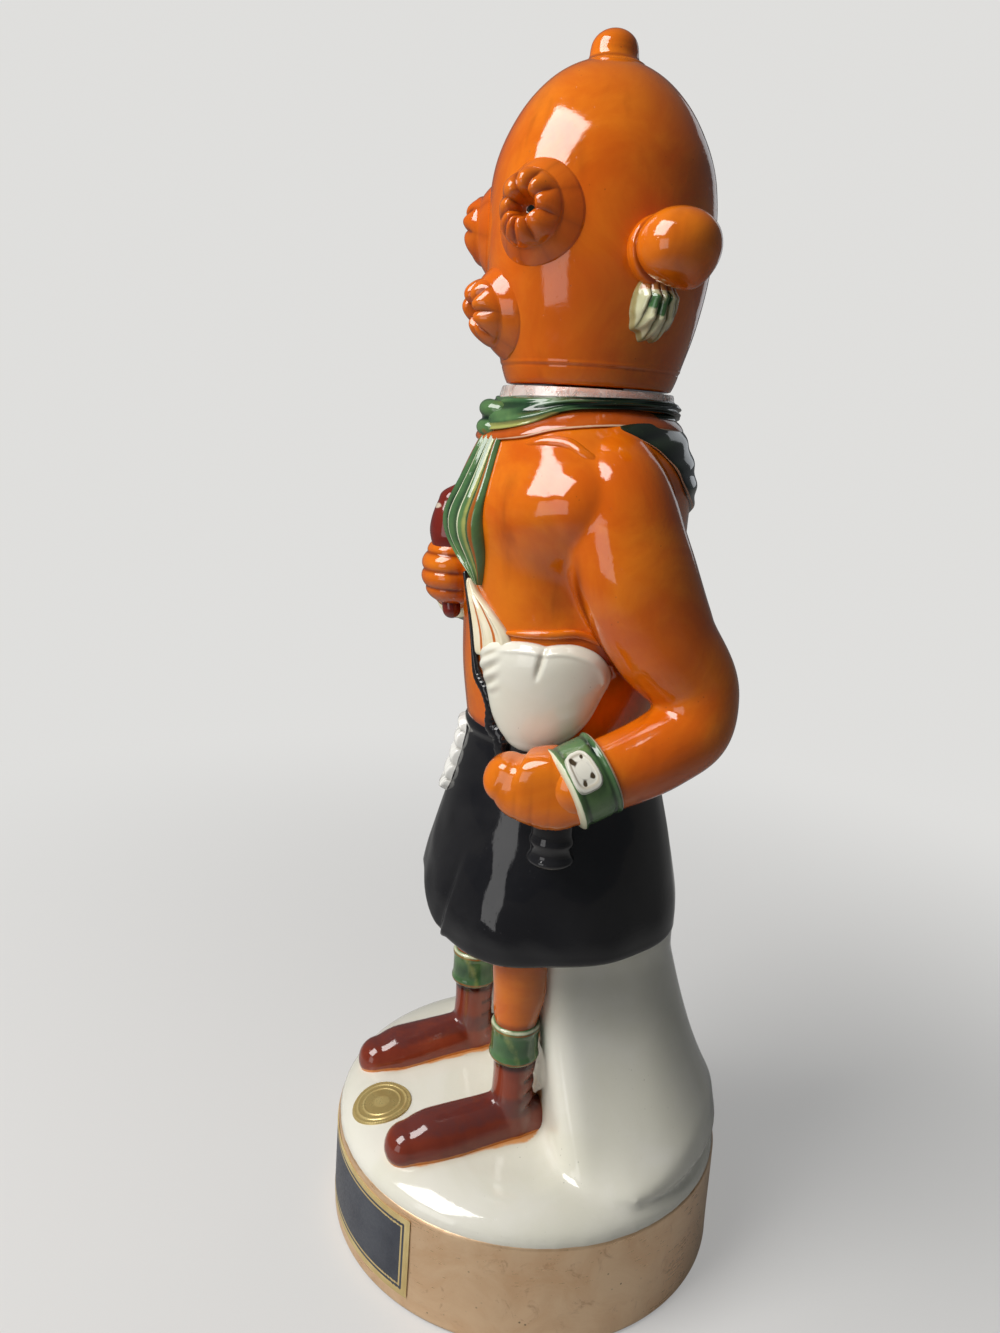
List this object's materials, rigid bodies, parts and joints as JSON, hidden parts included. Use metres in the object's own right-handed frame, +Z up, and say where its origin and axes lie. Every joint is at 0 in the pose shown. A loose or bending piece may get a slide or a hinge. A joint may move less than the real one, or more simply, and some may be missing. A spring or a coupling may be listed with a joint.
{
  "type": "figural liquor decanter",
  "caption": "Glazed ceramic decanter shaped as a masked dancer on a round gold-banded base; the head lifts off as the corked stopper.",
  "frame": {"origin": "centre of the round foot, on the surface that the decanter stands on", "axes": "+Z up through the figure, -Y the way the figure faces, +X the figure's left side"},
  "size_m": [0.1208, 0.1209, 0.343],
  "materials": {
    "orange_glaze": "gloss",
    "cream_glaze": "gloss",
    "black_glaze": "gloss",
    "green_glaze": "gloss",
    "boot_glaze": "gloss",
    "maroon_glaze": "gloss",
    "gold_lustre": "satin metallic",
    "label_paper": "satin",
    "sticker_foil": "satin metallic",
    "seal_film": "translucent",
    "cork": "matte"
  },
  "bodies": {
    "bottle": {"base_band": "gold_lustre", "base_mound": "cream_glaze", "rear_column": "cream_glaze", "skirt": "black_glaze", "torso": "orange_glaze", "neck": "orange_glaze", "left_arm": "orange_glaze", "right_arm": "orange_glaze", "left_hand": "orange_glaze", "right_hand": "orange_glaze", "left_wristband": "green_glaze", "right_wristband": "green_glaze", "wristband_plaque": "cream_glaze", "rattle_head": "maroon_glaze", "rattle_handle": "maroon_glaze", "scarf_collar": "green_glaze", "scarf_knot": "green_glaze", "scarf_tail": "green_glaze", "scarf_drape": "green_glaze", "waist_pouch": "cream_glaze", "chest_feather": "black_glaze", "skirt_fringe": "cream_glaze", "held_bundle": "black_glaze", "left_leg": "orange_glaze", "right_leg": "orange_glaze", "left_garter": "green_glaze", "right_garter": "green_glaze", "left_boot": "boot_glaze", "right_boot": "boot_glaze", "base_label": "label_paper", "round_sticker": "sticker_foil", "neck_seal_band": "seal_film", "body_seal_strip": "seal_film"},
    "cork": {"cork_stopper": "cork"},
    "head": {"head_shell": "orange_glaze", "topknot": "orange_glaze", "left_eye_ring": "orange_glaze", "right_eye_ring": "orange_glaze", "mouth_ring": "orange_glaze", "left_ear": "orange_glaze", "right_ear": "orange_glaze", "left_ear_pendant": "green_glaze", "right_ear_pendant": "green_glaze", "head_seal_strip": "seal_film"}
  },
  "joints": [
    {"name": "stopper_lift", "type": "slide", "parent": "bottle", "child": "cork", "axis": [0, 0, 1], "range_m": [0, 0.045]},
    {"name": "stopper_turn", "type": "hinge", "parent": "cork", "child": "head", "pos_m": [0, 0.002, 0.2558], "axis": [0, 0, 1], "continuous": true}
  ]
}
